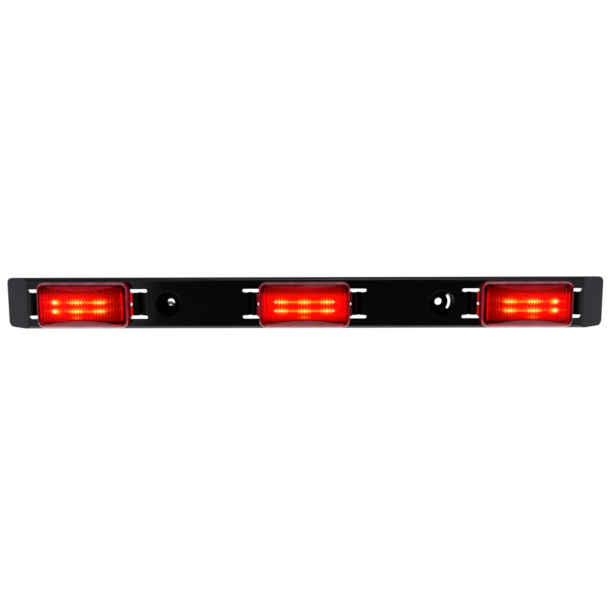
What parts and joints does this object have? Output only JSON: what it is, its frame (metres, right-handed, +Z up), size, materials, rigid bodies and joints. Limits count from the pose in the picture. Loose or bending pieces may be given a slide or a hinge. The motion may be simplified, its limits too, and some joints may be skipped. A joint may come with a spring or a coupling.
{
  "type": "identification light bar",
  "caption": "Long black mount bar with sloping ends, carrying snap-in rectangular red LED lamps, latch tongues, screw pockets and internal wiring, for the rear of a truck or trailer.",
  "frame": {"origin": "centre of the bar's back mounting plane, midway between the two mounting holes", "axes": "+X along the bar to the right as seen from the front, the lenses face -Y, +Z up"},
  "size_m": [0.4248, 0.0255, 0.035],
  "materials": {
    "bar_plastic": "gloss black moulded ABS",
    "lens_red": "clear red polycarbonate, polished outside, fluted inside",
    "housing_plastic": "moulded black",
    "board_white": "white solder mask",
    "led_package": "moulded LED package with clear dome",
    "chip_black": "chip package",
    "potting_epoxy": "poured black epoxy",
    "wire_black": "PVC insulation",
    "wire_white": "PVC insulation",
    "splice_vinyl": "crimped vinyl sleeve",
    "socket_sleeve": "moulded sleeve",
    "tinned_brass": "tin plated"
  },
  "bodies": {
    "bar": {"mount_bar": "bar_plastic", "hot_trunk": "wire_black", "ground_trunk": "wire_white", "hot_splices": "splice_vinyl", "ground_splices": "splice_vinyl", "hot_tail": "wire_black", "supply_socket": "socket_sleeve", "ground_tail": "wire_white", "ground_ring_terminal": "tinned_brass"},
    "lamp_left": {"lens_left": "lens_red", "housing_left": "housing_plastic", "circuit_board_left": "board_white", "leds_left": "led_package", "resistors_left": "chip_black", "potting_left": "potting_epoxy", "hot_lead_left": "wire_black", "ground_lead_left": "wire_white"},
    "lamp_centre": {"lens_centre": "lens_red", "housing_centre": "housing_plastic", "circuit_board_centre": "board_white", "leds_centre": "led_package", "resistors_centre": "chip_black", "potting_centre": "potting_epoxy", "hot_lead_centre": "wire_black", "ground_lead_centre": "wire_white"},
    "lamp_right": {"lens_right": "lens_red", "housing_right": "housing_plastic", "circuit_board_right": "board_white", "leds_right": "led_package", "resistors_right": "chip_black", "potting_right": "potting_epoxy", "hot_lead_right": "wire_black", "ground_lead_right": "wire_white"},
    "tongue_left_outer": {"latch_left_outer": "bar_plastic"},
    "tongue_left_inner": {"latch_left_inner": "bar_plastic"},
    "tongue_centre_left": {"latch_centre_left": "bar_plastic"},
    "tongue_centre_right": {"latch_centre_right": "bar_plastic"},
    "tongue_right_inner": {"latch_right_inner": "bar_plastic"},
    "tongue_right_outer": {"latch_right_outer": "bar_plastic"}
  },
  "joints": [
    {"name": "lamp_left_pull", "type": "slide", "parent": "bar", "child": "lamp_left", "axis": [0, -1, 0], "range_m": [0, 0.004], "stiffness_N_per_m": 300},
    {"name": "lamp_centre_pull", "type": "slide", "parent": "bar", "child": "lamp_centre", "axis": [0, -1, 0], "range_m": [0, 0.004], "stiffness_N_per_m": 300},
    {"name": "lamp_right_pull", "type": "slide", "parent": "bar", "child": "lamp_right", "axis": [0, -1, 0], "range_m": [0, 0.004], "stiffness_N_per_m": 300},
    {"name": "tongue_left_outer_flex", "type": "hinge", "parent": "bar", "child": "tongue_left_outer", "pos_m": [-0.1892, -0.0127, 0], "axis": [0, 0, 1], "range_deg": [-47, 0]},
    {"name": "tongue_left_inner_flex", "type": "hinge", "parent": "bar", "child": "tongue_left_inner", "pos_m": [-0.1122, -0.0127, 0], "axis": [0, 0, 1], "range_deg": [0, 28]},
    {"name": "tongue_centre_left_flex", "type": "hinge", "parent": "bar", "child": "tongue_centre_left", "pos_m": [-0.0402, -0.0127, 0], "axis": [0, 0, 1], "range_deg": [-28, 0]},
    {"name": "tongue_centre_right_flex", "type": "hinge", "parent": "bar", "child": "tongue_centre_right", "pos_m": [0.0402, -0.0127, 0], "axis": [0, 0, 1], "range_deg": [0, 28]},
    {"name": "tongue_right_inner_flex", "type": "hinge", "parent": "bar", "child": "tongue_right_inner", "pos_m": [0.1122, -0.0127, 0], "axis": [0, 0, 1], "range_deg": [-28, 0]},
    {"name": "tongue_right_outer_flex", "type": "hinge", "parent": "bar", "child": "tongue_right_outer", "pos_m": [0.1892, -0.0127, 0], "axis": [0, 0, 1], "range_deg": [0, 47]}
  ],
  "couplings": [
    {"joint": "tongue_left_outer_flex", "follows": "lamp_left_pull", "rad_per_m": -204.08},
    {"joint": "tongue_left_inner_flex", "follows": "lamp_left_pull", "rad_per_m": 120.48},
    {"joint": "tongue_centre_left_flex", "follows": "lamp_centre_pull", "rad_per_m": -120.48},
    {"joint": "tongue_centre_right_flex", "follows": "lamp_centre_pull", "rad_per_m": 120.48},
    {"joint": "tongue_right_inner_flex", "follows": "lamp_right_pull", "rad_per_m": -120.48},
    {"joint": "tongue_right_outer_flex", "follows": "lamp_right_pull", "rad_per_m": 204.08}
  ]
}
